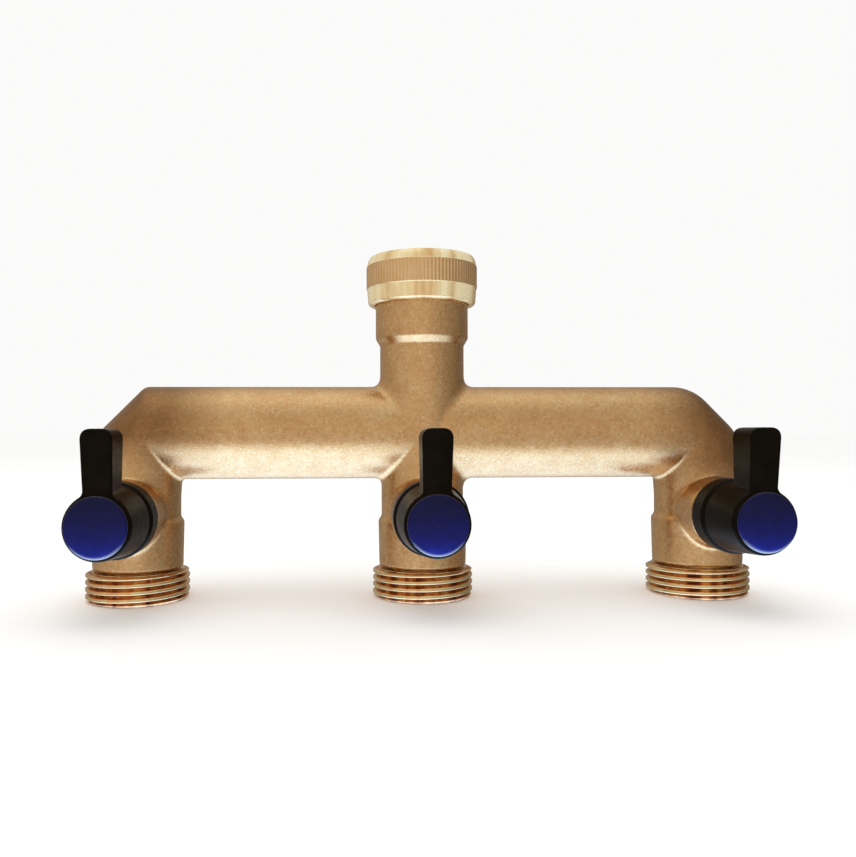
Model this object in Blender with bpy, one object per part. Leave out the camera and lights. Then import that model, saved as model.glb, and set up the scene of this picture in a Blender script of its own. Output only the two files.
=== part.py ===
"""Three-way brass hose splitter: a cast manifold with a swivel inlet nut and three ball-valve outlets.

Driving dimensions are in millimetres, and new_object turns them into metres. +Z is up, +X runs along
the manifold to the right-hand outlet, and the valve handles face -Y. The origin is the middle of the
whole splitter on the plane of its three outlet rims. Each piece is drawn about the outlets' plane of
axes, which lies AXIS_Y behind the origin. At rest all three valves are open.
"""

from math import cos, pi, radians, sin, sqrt

import bmesh
import bpy
from mathutils import Matrix, Vector

MM = 0.001
GAP = 0.3

# Layout
OUTLET_PITCH = 75.0
OUTLETS = (("left", -OUTLET_PITCH), ("centre", 0.0), ("right", OUTLET_PITCH))
RUN_Z = 43.4
VALVE_Z = 22.75

# Manifold run: an oval tube that turns down at each end through a 45 degree mitred segment
RUN_HALF_HEIGHT = 12.2
RUN_HALF_DEPTH = 11.0
ELBOW_RADIUS = 11.6
ELBOW_LEG = 7.0
RUN_END_RADIUS = 10.7
RUN_END_Z = 27.0
RUN_BORE_HALF_HEIGHT = 9.4
RUN_BORE_HALF_DEPTH = 8.6
ELBOW_BORE_RADIUS = 8.5
RUN_BORE_END_RADIUS = 6.4
RUN_BORE_END_Z = 31.9

# Outlet barrels, each with a ball chamber that opens downwards
BARREL_BOTTOM_Z = 8.2
BARREL_RADIUS = 10.9
COLLAR_RADIUS = 11.75
COLLAR_BOTTOM_RADIUS = 11.5
COLLAR_TOP_Z = 20.1
COLLAR_CHAMFER = 1.3
CHAMBER_RADIUS = 9.0
PORT_RADIUS = 5.6

# Inlet neck
NECK_RADIUS = 11.2
NECK_SHOULDER_Z = 66.5
SPIGOT_RADIUS = 12.35
SPIGOT_START_Z = 68.4
SPIGOT_TOP_Z = 80.9
NECK_BORE_RADIUS = 7.8
RING_Z = 79.2
RING_GROOVE_HALF = 0.9
NECK_GROOVE_RADIUS = 11.6

# Valve bosses on the front of the barrels. Depths are measured forward from the outlet axis
BOSS_RADIUS = 9.4
BOSS_FACE = 17.5
BOSS_BEVEL = 0.8
STEM_POCKET_RADIUS = 5.5
STEM_POCKET_DEPTH = 11.7
STEM_BORE_RADIUS = 4.2
STOP_INNER = 5.6
STOP_OUTER = 7.6
STOP_FACE = 20.2
STOP_ANGLE = -90.0
STOP_HALF_WIDTH = 18.0
VALVE_TRAVEL = 90.0

# Ball and seats
BALL_RADIUS = 8.0
BALL_BORE_RADIUS = 4.8
BALL_SLOT_FLOOR = 6.0
BALL_SLOT_HALF = 1.6
SEAT_BORE_RADIUS = 5.0
SEAT_OUTER_RADIUS = CHAMBER_RADIUS - GAP
SEAT_TOP = 7.5
SEAT_LIP_RADIUS = 7.35

# Stem
TANG_HALF_LENGTH = 3.0
TANG_HALF_WIDTH = 1.3
FLANGE_RADIUS = 5.2
FLANGE_BACK = 9.0
FLANGE_FACE = 10.3
STEM_RADIUS = 3.9
STEM_ORING_DEPTH = 14.0
STEM_GROOVE_HALF = 0.8
STEM_GROOVE_RADIUS = 2.7
STEM_SQUARE_START = 18.5
STEM_SQUARE_RADIUS = 3.7
STEM_FLAT = 2.9
STEM_END = 29.0
STEM_TAP_RADIUS = 2.0
STEM_TAP_DEPTH = 22.6
WASHER_THICKNESS = 0.8

# Handle: hub, skirt, lever
SKIRT_RADIUS = 9.2
SKIRT_BACK = 18.0
SKIRT_FRONT = 23.6
HUB_BASE_RADIUS = 8.55
HUB_FACE_RADIUS = 7.65
HUB_FACE = 36.9
SLOT_INNER = 5.3
SLOT_OUTER = 7.9
SLOT_FLOOR = 20.6
SLOT_MARGIN = 2.0
SOCKET_CLEARANCE = 0.3
WEB_BACK = 29.3
WEB_FACE = 30.6
SCREW_HOLE_RADIUS = 2.1
POCKET_RADIUS = 5.7
LEVER_BACK = 28.0
LEVER_FRONT_LOW = 36.2
LEVER_FRONT_TOP = 38.0
LEVER_ROOT = 4.0
LEVER_REACH = 21.7
LEVER_HALF_WIDTH_LOW = 3.15
LEVER_HALF_WIDTH_TOP = 3.35
LEVER_CORNER = 1.4

# Handle screw and cap
SCREW_HEAD_RADIUS = 3.5
SCREW_HEAD_HEIGHT = 2.1
SCREW_SHANK_RADIUS = 1.7
SCREW_END = 23.4
CAP_RADIUS = 6.95
CAP_BACK = 37.2
CAP_FACE = 38.4
CAP_EDGE = 0.7
CAP_PLUG_RADIUS = 5.3
CAP_PLUG_BORE = 4.3
CAP_PLUG_END = 33.6

# Outlet nipples: G3/4 male thread, 14 threads per inch
THREAD_RADIUS = 13.22
THREAD_ROOT_RADIUS = 12.06
THREAD_PITCH = 1.814
NIPPLE_THREADS = 4
NIPPLE_SHOULDER_Z = 7.7
NIPPLE_RIM_RADIUS = 12.0
NIPPLE_MOUTH_RADIUS = 9.0
NIPPLE_MOUTH_TOP_Z = 5.2
NIPPLE_THROAT_RADIUS = 5.4
NIPPLE_THROAT_Z = 7.9
NIPPLE_ORING_Z = 11.4
NIPPLE_GROOVE_HALF = 0.8
NIPPLE_GROOVE_RADIUS = 7.5

# Swivel nut: G3/4 female thread
NUT_BOTTOM_Z = 77.3
NUT_TOP_Z = 90.1
NUT_BAND_RADIUS = 14.3
NUT_KNURL_RADIUS = 14.85
NUT_LIP_RADIUS = 14.6
NUT_KNURL_LOW_Z = 81.5
NUT_KNURL_HIGH_Z = 88.4
NUT_BEVEL = 0.5
NUT_BORE_RADIUS = SPIGOT_RADIUS + GAP
NUT_GROOVE_RADIUS = 13.4
NUT_THREAD_CREST = 12.2
NUT_THREAD_ROOT = 13.2
NUT_THREADS = 4
NUT_THREAD_TOP_Z = 89.2

# Inlet seal and retaining ring
GASKET_OUTER = 11.8
GASKET_THICKNESS = 2.0
RING_RADIUS = 12.5
RING_WIRE = 0.6
RING_GAP_ANGLE = 16.0

# The axes' distance behind the origin: halfway between the caps in front and the nut behind
AXIS_Y = (CAP_FACE - NUT_KNURL_RADIUS) / 2

# Facets round each turned piece, and sides of each ring of round wire
FINE = 28
MEDIUM = 20
COARSE = 16
BALL_RINGS = 10
SEAT_STEPS = 2
WIRE_SIDES = 6


def paint(name, colour, roughness, metallic):
    """A Principled material with one colour."""
    material = bpy.data.materials.new(name)
    material.use_nodes = True
    shader = material.node_tree.nodes["Principled BSDF"]
    shader.inputs["Base Color"].default_value = (*colour, 1.0)
    shader.inputs["Roughness"].default_value = roughness
    shader.inputs["Metallic"].default_value = metallic
    material.diffuse_color = (*colour, 1.0)
    return material


def close_loop(shape, rings, closed):
    """Skins neighbouring rings with faces. A ring of one vertex is a point on the axis."""
    pairs = list(zip(rings, rings[1:]))
    if closed:
        pairs.append((rings[-1], rings[0]))
    for first, second in pairs:
        count = max(len(first), len(second))
        for i in range(count):
            j = (i + 1) % count
            corners = [first[i % len(first)], first[j % len(first)]]
            corners += [second[j % len(second)], second[i % len(second)]]
            face = list(dict.fromkeys(corners))
            if len(face) > 2:
                shape.faces.new(face)


def turned(shape, profile, facets, centre=(0.0, 0.0), flats=None):
    """Adds a solid turned about Z from (radius, height) points.

    A profile that starts and ends on the axis makes a solid, and any other profile makes a ring.
    flats gives a half width to the rings whose index it names, which cuts two flats across them.
    """
    rings = []
    for index, (radius, height) in enumerate(profile):
        if radius == 0:
            rings.append([shape.verts.new((centre[0], centre[1], height))])
            continue
        limit = flats.get(index, radius) if flats else radius
        ring = []
        for i in range(facets):
            angle = 2 * pi * i / facets
            x = max(-limit, min(limit, radius * cos(angle)))
            ring.append(shape.verts.new((centre[0] + x, centre[1] + radius * sin(angle), height)))
        rings.append(ring)
    close_loop(shape, rings, closed=profile[0][0] != 0)


def block(shape, low, high):
    """Adds a box between two corners."""
    size = [b - a for a, b in zip(low, high)]
    middle = [(a + b) / 2 for a, b in zip(low, high)]
    matrix = Matrix.Translation(middle) @ Matrix.Diagonal((*size, 1.0))
    bmesh.ops.create_cube(shape, size=1.0, matrix=matrix)


def ring_sector(shape, inner, outer, low, high, start, end, steps):
    """Adds a block that follows an arc about Z between two angles in degrees."""
    sections = []
    for i in range(steps + 1):
        angle = radians(start + (end - start) * i / steps)
        corners = ((inner, low), (outer, low), (outer, high), (inner, high))
        sections.append([shape.verts.new((r * cos(angle), r * sin(angle), z)) for r, z in corners])
    close_loop(shape, sections, closed=False)
    shape.faces.new(sections[0])
    shape.faces.new(reversed(sections[-1]))


def torus(shape, radius, wire, height, facets, sides, opening=0.0):
    """Adds an O-ring, or an open wire ring when an opening angle is given."""
    count = facets + 1 if opening else facets
    sections = []
    for i in range(count):
        angle = radians(opening / 2 + (360 - opening) * i / facets)
        section = []
        for k in range(sides):
            turn = 2 * pi * k / sides
            r = radius + wire * cos(turn)
            section.append(shape.verts.new((r * cos(angle), r * sin(angle), height + wire * sin(turn))))
        sections.append(section)
    close_loop(shape, sections, closed=not opening)
    if opening:
        shape.faces.new(sections[0])
        shape.faces.new(reversed(sections[-1]))


def new_object(name, shape, material=None, location=(0.0, 0.0, 0.0), faces_front=False):
    """Turns a bmesh in millimetres into an object. faces_front points its Z axis to the front.

    The location is measured from the centre outlet's axis.
    """
    bmesh.ops.recalc_face_normals(shape, faces=shape.faces)
    bmesh.ops.scale(shape, vec=(MM, MM, MM), verts=shape.verts)
    mesh = bpy.data.meshes.new(name)
    shape.to_mesh(mesh)
    shape.free()
    if material:
        mesh.materials.append(material)
    mesh.shade_smooth()
    mesh.set_sharp_from_angle(angle=radians(35))
    obj = bpy.data.objects.new(name, mesh)
    obj.location = (Vector(location) + Vector((0.0, AXIS_Y, 0.0))) * MM
    if faces_front:
        obj.rotation_euler = (pi / 2, 0.0, 0.0)
    bpy.context.scene.collection.objects.link(obj)
    return obj


def combine(target, tool, operation):
    """Unites the tool with the target, or cuts it away, and keeps the tool as a hidden helper."""
    tool.hide_render = True
    tool.display_type = "WIRE"
    modifier = target.modifiers.new(tool.name, "BOOLEAN")
    modifier.operation = operation
    modifier.solver = "EXACT"
    modifier.object = tool


def run_path(end_z):
    """Stations along the run: (x, z, slope of the ring's plane in degrees from upright)."""
    half = [
        (OUTLET_PITCH, end_z, 90.0),
        (OUTLET_PITCH, RUN_Z - ELBOW_LEG, 67.5),
        (OUTLET_PITCH - ELBOW_LEG, RUN_Z, 22.5),
    ]
    left = [(-x, z, tilt) for x, z, tilt in half]
    right = [(x, z, -tilt) for x, z, tilt in reversed(half)]
    return left + right


def add_run(shape, end_z, end_radius, elbow_radius, half_height, half_depth):
    """Adds the run as one skin through mitred rings, down into both end outlets."""
    elbow_depth = (elbow_radius + half_depth) / 2
    sizes = [(end_radius, end_radius), (elbow_radius, elbow_depth), (half_height, half_depth)]
    sizes += sizes[::-1]
    rings = []
    for (x, z, tilt), (height, depth) in zip(run_path(end_z), sizes):
        lean = radians(tilt)
        stretch = 1 / cos(radians(22.5)) if abs(tilt) < 90 else 1.0
        ring = []
        for i in range(FINE):
            angle = 2 * pi * i / FINE
            across = height * stretch * cos(angle)
            point = (x - across * sin(lean), depth * sin(angle), z + across * cos(lean))
            ring.append(shape.verts.new(point))
        rings.append(ring)
    close_loop(shape, rings, closed=False)
    shape.faces.new(rings[0])
    shape.faces.new(reversed(rings[-1]))


def collar_profile():
    """The lower end of every barrel, from the axis to the top of its collar chamfer."""
    return [
        (0, BARREL_BOTTOM_Z),
        (COLLAR_BOTTOM_RADIUS - 0.4, BARREL_BOTTOM_Z),
        (COLLAR_BOTTOM_RADIUS, BARREL_BOTTOM_Z + 0.4),
        (COLLAR_RADIUS, COLLAR_TOP_Z),
        (BARREL_RADIUS, COLLAR_TOP_Z + COLLAR_CHAMFER),
    ]


def chamber_profile():
    """The ball chamber and the port above it, from below the barrel to the port's top."""
    mouth = BARREL_BOTTOM_Z - 1
    shoulder = VALVE_Z + SEAT_TOP + GAP
    return [(0, mouth), (CHAMBER_RADIUS, mouth), (CHAMBER_RADIUS, shoulder), (PORT_RADIUS, shoulder)]


def make_manifold(material):
    """The casting: run, barrels, inlet neck, valve bosses and their stops, with every waterway cut."""
    shape = bmesh.new()
    add_run(shape, RUN_END_Z, RUN_END_RADIUS, ELBOW_RADIUS, RUN_HALF_HEIGHT, RUN_HALF_DEPTH)
    body = new_object("manifold_body", shape, material)

    shape = bmesh.new()
    neck = [
        (BARREL_RADIUS, RUN_Z - 10),
        (NECK_RADIUS, RUN_Z + 10),
        (NECK_RADIUS, NECK_SHOULDER_Z),
        (SPIGOT_RADIUS, SPIGOT_START_Z),
        (SPIGOT_RADIUS, RING_Z - RING_GROOVE_HALF),
        (NECK_GROOVE_RADIUS, RING_Z - RING_GROOVE_HALF),
        (NECK_GROOVE_RADIUS, RING_Z + RING_GROOVE_HALF),
        (SPIGOT_RADIUS, RING_Z + RING_GROOVE_HALF),
        (SPIGOT_RADIUS, SPIGOT_TOP_Z - 0.3),
        (SPIGOT_RADIUS - 0.3, SPIGOT_TOP_Z),
        (0, SPIGOT_TOP_Z),
    ]
    turned(shape, collar_profile() + neck, FINE)
    combine(body, new_object("tool_centre_column", shape), "UNION")

    shape = bmesh.new()
    barrel_top = RUN_Z - ELBOW_LEG - 0.4
    for x in (-OUTLET_PITCH, OUTLET_PITCH):
        profile = collar_profile() + [(BARREL_RADIUS, barrel_top), (0, barrel_top)]
        turned(shape, profile, FINE, centre=(x, 0.0))
    combine(body, new_object("tool_end_barrels", shape), "UNION")

    boss = [
        (0, 2),
        (BOSS_RADIUS, 2),
        (BOSS_RADIUS, BOSS_FACE - BOSS_BEVEL),
        (BOSS_RADIUS - BOSS_BEVEL, BOSS_FACE),
        (0, BOSS_FACE),
    ]
    stem_bore = [
        (0, 0),
        (STEM_POCKET_RADIUS, 0),
        (STEM_POCKET_RADIUS, STEM_POCKET_DEPTH),
        (STEM_BORE_RADIUS, STEM_POCKET_DEPTH),
        (STEM_BORE_RADIUS, BOSS_FACE + 1),
        (0, BOSS_FACE + 1),
    ]
    for name, x in OUTLETS:
        shape = bmesh.new()
        turned(shape, boss, FINE)
        combine(body, new_object(f"tool_boss_{name}", shape, None, (x, 0, VALVE_Z), True), "UNION")
        shape = bmesh.new()
        start, end = STOP_ANGLE - STOP_HALF_WIDTH, STOP_ANGLE + STOP_HALF_WIDTH
        ring_sector(shape, STOP_INNER, STOP_OUTER, BOSS_FACE - 1, STOP_FACE, start, end, 4)
        combine(body, new_object(f"tool_stop_{name}", shape, None, (x, 0, VALVE_Z), True), "UNION")

    shape = bmesh.new()
    bore = (RUN_BORE_END_RADIUS, ELBOW_BORE_RADIUS, RUN_BORE_HALF_HEIGHT, RUN_BORE_HALF_DEPTH)
    add_run(shape, RUN_BORE_END_Z, *bore)
    combine(body, new_object("cut_run_bore", shape), "DIFFERENCE")

    shape = bmesh.new()
    centre_bore = [
        (PORT_RADIUS, RUN_Z - 8),
        (NECK_BORE_RADIUS, RUN_Z - 5),
        (NECK_BORE_RADIUS, SPIGOT_TOP_Z + 1),
        (0, SPIGOT_TOP_Z + 1),
    ]
    turned(shape, chamber_profile() + centre_bore, MEDIUM)
    port_top = RUN_BORE_END_Z + 1
    for x in (-OUTLET_PITCH, OUTLET_PITCH):
        turned(shape, chamber_profile() + [(PORT_RADIUS, port_top), (0, port_top)], MEDIUM, centre=(x, 0.0))
    combine(body, new_object("cut_chambers", shape), "DIFFERENCE")

    for name, x in OUTLETS:
        shape = bmesh.new()
        turned(shape, stem_bore, MEDIUM)
        combine(body, new_object(f"cut_stem_bore_{name}", shape, None, (x, 0, VALVE_Z), True), "DIFFERENCE")
    return body


def make_nipple(name, x, material):
    """A threaded outlet nipple, whose spigot plugs the bottom of the ball chamber."""
    spigot = CHAMBER_RADIUS - GAP
    top = VALVE_Z - SEAT_TOP - GAP
    low, high = NIPPLE_ORING_Z - NIPPLE_GROOVE_HALF, NIPPLE_ORING_Z + NIPPLE_GROOVE_HALF
    profile = [
        (NIPPLE_MOUTH_RADIUS, 0),
        (NIPPLE_MOUTH_RADIUS, NIPPLE_MOUTH_TOP_Z),
        (NIPPLE_THROAT_RADIUS, NIPPLE_THROAT_Z),
        (NIPPLE_THROAT_RADIUS, top),
        (spigot, top),
        (spigot, high),
        (NIPPLE_GROOVE_RADIUS, high),
        (NIPPLE_GROOVE_RADIUS, low),
        (spigot, low),
        (spigot, NIPPLE_SHOULDER_Z),
        (THREAD_ROOT_RADIUS, NIPPLE_SHOULDER_Z),
    ]
    for i in range(NIPPLE_THREADS):
        crest = NIPPLE_SHOULDER_Z - (i + 0.5) * THREAD_PITCH
        profile += [(THREAD_RADIUS, crest), (THREAD_ROOT_RADIUS, crest - THREAD_PITCH / 2)]
    profile[-1] = (NIPPLE_RIM_RADIUS, 0)
    shape = bmesh.new()
    turned(shape, profile, MEDIUM)
    new_object(f"outlet_nipple_{name}", shape, material, (x, 0, 0))


def make_oring(name, radius, wire, location, faces_front, material):
    shape = bmesh.new()
    torus(shape, radius, wire, 0.0, COARSE, WIRE_SIDES)
    new_object(name, shape, material, location, faces_front)


def make_ball(name, x, material):
    """A ball with a through bore along the outlet and a cross slot for the stem's tang."""
    shape = bmesh.new()
    bmesh.ops.create_uvsphere(shape, u_segments=MEDIUM, v_segments=BALL_RINGS, radius=BALL_RADIUS)
    ball = new_object(f"ball_{name}", shape, material, (x, 0, VALVE_Z), True)
    shape = bmesh.new()
    reach = BALL_RADIUS + 1
    turned(shape, [(0, -reach), (BALL_BORE_RADIUS, -reach), (BALL_BORE_RADIUS, reach), (0, reach)], COARSE)
    bmesh.ops.rotate(shape, verts=shape.verts, matrix=Matrix.Rotation(pi / 2, 3, "X"))
    block(shape, (-reach, -BALL_SLOT_HALF, BALL_SLOT_FLOOR), (reach, BALL_SLOT_HALF, reach))
    combine(ball, new_object(f"cut_ball_{name}", shape, None, (x, 0, VALVE_Z), True), "DIFFERENCE")


def make_seat(name, x, side, material):
    """A seat ring that cups the ball. side is 1 above the ball and -1 below it."""
    cup = BALL_RADIUS + GAP
    start, end = SEAT_BORE_RADIUS, SEAT_LIP_RADIUS
    profile = [(SEAT_OUTER_RADIUS, SEAT_TOP), (SEAT_BORE_RADIUS, SEAT_TOP)]
    for i in range(SEAT_STEPS + 1):
        radius = start + (end - start) * i / SEAT_STEPS
        profile.append((radius, sqrt(cup**2 - radius**2)))
    profile.append((SEAT_OUTER_RADIUS, profile[-1][1]))
    shape = bmesh.new()
    turned(shape, [(radius, side * height) for radius, height in profile], COARSE)
    new_object(name, shape, material, (x, 0, VALVE_Z))


def make_stem(name, x, material):
    """A blow-out-proof stem: tang, inner flange, O-ring groove and two flats under the handle."""
    low, high = STEM_ORING_DEPTH - STEM_GROOVE_HALF, STEM_ORING_DEPTH + STEM_GROOVE_HALF
    profile = [
        (0, FLANGE_BACK),
        (FLANGE_RADIUS, FLANGE_BACK),
        (FLANGE_RADIUS, FLANGE_FACE),
        (STEM_RADIUS, FLANGE_FACE),
        (STEM_RADIUS, low),
        (STEM_GROOVE_RADIUS, low),
        (STEM_GROOVE_RADIUS, high),
        (STEM_RADIUS, high),
        (STEM_RADIUS, STEM_SQUARE_START),
        (STEM_SQUARE_RADIUS, STEM_SQUARE_START),
        (STEM_SQUARE_RADIUS, STEM_END),
        (STEM_TAP_RADIUS, STEM_END),
        (STEM_TAP_RADIUS, STEM_TAP_DEPTH),
        (0, STEM_TAP_DEPTH - 1),
    ]
    shape = bmesh.new()
    turned(shape, profile, COARSE, flats={9: STEM_FLAT, 10: STEM_FLAT})
    stem = new_object(f"stem_{name}", shape, material, (x, 0, VALVE_Z), True)
    shape = bmesh.new()
    low = (-TANG_HALF_LENGTH, -TANG_HALF_WIDTH, BALL_SLOT_FLOOR + GAP)
    block(shape, low, (TANG_HALF_LENGTH, TANG_HALF_WIDTH, FLANGE_BACK + 0.5))
    combine(stem, new_object(f"tool_tang_{name}", shape, None, (x, 0, VALVE_Z), True), "UNION")


def make_washer(name, x, material):
    """The thrust washer between the stem's flange and the boss."""
    back = FLANGE_FACE + GAP
    face = back + WASHER_THICKNESS
    inner, outer = STEM_BORE_RADIUS, FLANGE_RADIUS
    profile = [(inner, back), (outer, back), (outer, face), (inner, face)]
    shape = bmesh.new()
    turned(shape, profile, COARSE)
    new_object(f"thrust_washer_{name}", shape, material, (x, 0, VALVE_Z), True)


def add_lever(shape):
    """Adds the lever: a tapered bar with a rounded tip, whose front face leans out towards the tip."""
    corner_x = LEVER_HALF_WIDTH_TOP - LEVER_CORNER
    corner_y = LEVER_REACH - LEVER_CORNER
    arc = [radians(90 * i / 4) for i in range(5)]
    right = [(LEVER_HALF_WIDTH_LOW, LEVER_ROOT)]
    right += [(corner_x + LEVER_CORNER * cos(a), corner_y + LEVER_CORNER * sin(a)) for a in arc]
    outline = right + [(-px, py) for px, py in reversed(right)]
    lean = (LEVER_FRONT_TOP - LEVER_FRONT_LOW) / (LEVER_REACH - LEVER_ROOT)
    back = [shape.verts.new((px, py, LEVER_BACK)) for px, py in outline]
    front = [shape.verts.new((px, py, LEVER_FRONT_LOW + lean * (py - LEVER_ROOT))) for px, py in outline]
    close_loop(shape, [back, front], closed=False)
    shape.faces.new(back)
    shape.faces.new(reversed(front))


def make_handle(name, x, material):
    """The handle: a coned hub with a skirt and a lever, a socket for the stem and an arc for the stop."""
    profile = [
        (0, SKIRT_BACK),
        (SKIRT_RADIUS - 0.3, SKIRT_BACK),
        (SKIRT_RADIUS, SKIRT_BACK + 0.3),
        (SKIRT_RADIUS, SKIRT_FRONT),
        (HUB_BASE_RADIUS, SKIRT_FRONT + 0.6),
        (HUB_FACE_RADIUS, HUB_FACE - 0.6),
        (HUB_FACE_RADIUS - 0.6, HUB_FACE),
        (0, HUB_FACE),
    ]
    place = (x, 0, VALVE_Z)
    shape = bmesh.new()
    turned(shape, profile, MEDIUM)
    handle = new_object(f"handle_{name}", shape, material, place, True)

    shape = bmesh.new()
    add_lever(shape)
    combine(handle, new_object(f"tool_lever_{name}", shape, None, place, True), "UNION")

    socket = STEM_SQUARE_RADIUS + SOCKET_CLEARANCE
    flat = STEM_FLAT + SOCKET_CLEARANCE
    bore = [
        (0, SKIRT_BACK - 1),
        (STEM_BORE_RADIUS, SKIRT_BACK - 1),
        (STEM_BORE_RADIUS, STEM_SQUARE_START + GAP),
        (socket, STEM_SQUARE_START + GAP),
        (socket, WEB_BACK),
        (SCREW_HOLE_RADIUS, WEB_BACK),
        (SCREW_HOLE_RADIUS, WEB_FACE),
        (POCKET_RADIUS, WEB_FACE),
        (POCKET_RADIUS, HUB_FACE + 1),
        (0, HUB_FACE + 1),
    ]
    shape = bmesh.new()
    turned(shape, bore, COARSE, flats={3: flat, 4: flat})
    slot_start = STOP_ANGLE - STOP_HALF_WIDTH - SLOT_MARGIN
    slot_end = STOP_ANGLE + STOP_HALF_WIDTH + VALVE_TRAVEL + SLOT_MARGIN
    ring_sector(shape, SLOT_INNER, SLOT_OUTER, SKIRT_BACK - 1, SLOT_FLOOR, slot_start, slot_end, 10)
    combine(handle, new_object(f"cut_handle_{name}", shape, None, place, True), "DIFFERENCE")


def make_screw(name, x, material):
    """The pan-head screw that holds the handle on its stem, with a cross recess."""
    seat = WEB_FACE + GAP
    top = seat + SCREW_HEAD_HEIGHT
    profile = [
        (0, SCREW_END),
        (SCREW_SHANK_RADIUS - 0.5, SCREW_END),
        (SCREW_SHANK_RADIUS, SCREW_END + 0.5),
        (SCREW_SHANK_RADIUS, seat),
        (SCREW_HEAD_RADIUS, seat),
        (SCREW_HEAD_RADIUS, seat + 0.9),
        (SCREW_HEAD_RADIUS * 0.75, top - 0.25),
        (0, top),
    ]
    place = (x, 0, VALVE_Z)
    shape = bmesh.new()
    turned(shape, profile, COARSE)
    screw = new_object(f"handle_screw_{name}", shape, material, place, True)
    for axis, half in (("upright", (0.35, 1.7)), ("level", (1.7, 0.35))):
        shape = bmesh.new()
        block(shape, (-half[0], -half[1], seat + 0.7), (half[0], half[1], top + 1))
        combine(screw, new_object(f"cut_recess_{axis}_{name}", shape, None, place, True), "DIFFERENCE")


def make_cap(name, x, material):
    """The round cap: a slightly domed disc proud of the hub, with a hollow plug in the hub's pocket."""
    edge = [radians(90 - 30 * i) for i in range(4)]
    rim = CAP_RADIUS - CAP_EDGE
    front = [(rim + CAP_EDGE * cos(a), CAP_FACE - 0.1 - CAP_EDGE + CAP_EDGE * sin(a)) for a in edge]
    profile = [(0, CAP_FACE)] + front
    profile += [
        (CAP_RADIUS, CAP_BACK),
        (CAP_PLUG_RADIUS, CAP_BACK),
        (CAP_PLUG_RADIUS, CAP_PLUG_END),
        (CAP_PLUG_BORE, CAP_PLUG_END),
        (CAP_PLUG_BORE, CAP_BACK - 0.2),
        (0, CAP_BACK - 0.2),
    ]
    shape = bmesh.new()
    turned(shape, profile, MEDIUM)
    new_object(f"cap_{name}", shape, material, (x, 0, VALVE_Z), True)


def make_nut(material):
    """The swivel nut: plain bands above and below the grip, a bore thread and a groove for the ring."""
    groove_low, groove_high = RING_Z - RING_GROOVE_HALF - 0.1, RING_Z + RING_GROOVE_HALF + 0.1
    profile = [
        (NUT_BORE_RADIUS, NUT_BOTTOM_Z),
        (NUT_BAND_RADIUS - NUT_BEVEL, NUT_BOTTOM_Z),
        (NUT_BAND_RADIUS, NUT_BOTTOM_Z + NUT_BEVEL),
        (NUT_BAND_RADIUS, NUT_KNURL_LOW_Z - NUT_BEVEL),
        (NUT_KNURL_RADIUS, NUT_KNURL_LOW_Z),
        (NUT_KNURL_RADIUS, NUT_KNURL_HIGH_Z),
        (NUT_LIP_RADIUS, NUT_KNURL_HIGH_Z + 0.3),
        (NUT_LIP_RADIUS, NUT_TOP_Z - NUT_BEVEL),
        (NUT_LIP_RADIUS - NUT_BEVEL, NUT_TOP_Z),
        (NUT_THREAD_ROOT, NUT_TOP_Z),
    ]
    for i in range(NUT_THREADS):
        crest = NUT_THREAD_TOP_Z - i * THREAD_PITCH
        profile += [(NUT_THREAD_CREST, crest), (NUT_THREAD_ROOT, crest - THREAD_PITCH / 2)]
    profile += [
        (NUT_BORE_RADIUS, NUT_THREAD_TOP_Z - NUT_THREADS * THREAD_PITCH + 0.4),
        (NUT_BORE_RADIUS, groove_high),
        (NUT_GROOVE_RADIUS, groove_high),
        (NUT_GROOVE_RADIUS, groove_low),
        (NUT_BORE_RADIUS, groove_low),
    ]
    shape = bmesh.new()
    turned(shape, profile, FINE)
    bmesh.ops.translate(shape, verts=shape.verts, vec=(0, 0, -NUT_BOTTOM_Z))
    new_object("swivel_nut", shape, material, (0, 0, NUT_BOTTOM_Z))


def make_inlet_parts(rubber, steel):
    """The flat inlet gasket on top of the neck, and the wire ring that holds the nut on it."""
    low = SPIGOT_TOP_Z + GAP
    high = low + GASKET_THICKNESS
    inner, outer = NECK_BORE_RADIUS, GASKET_OUTER
    shape = bmesh.new()
    turned(shape, [(inner, low), (outer, low), (outer, high), (inner, high)], MEDIUM)
    new_object("inlet_gasket", shape, rubber)
    shape = bmesh.new()
    torus(shape, RING_RADIUS, RING_WIRE, 0.0, FINE, WIRE_SIDES, opening=RING_GAP_ANGLE)
    new_object("retaining_ring", shape, steel, (0, 0, RING_Z))


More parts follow.
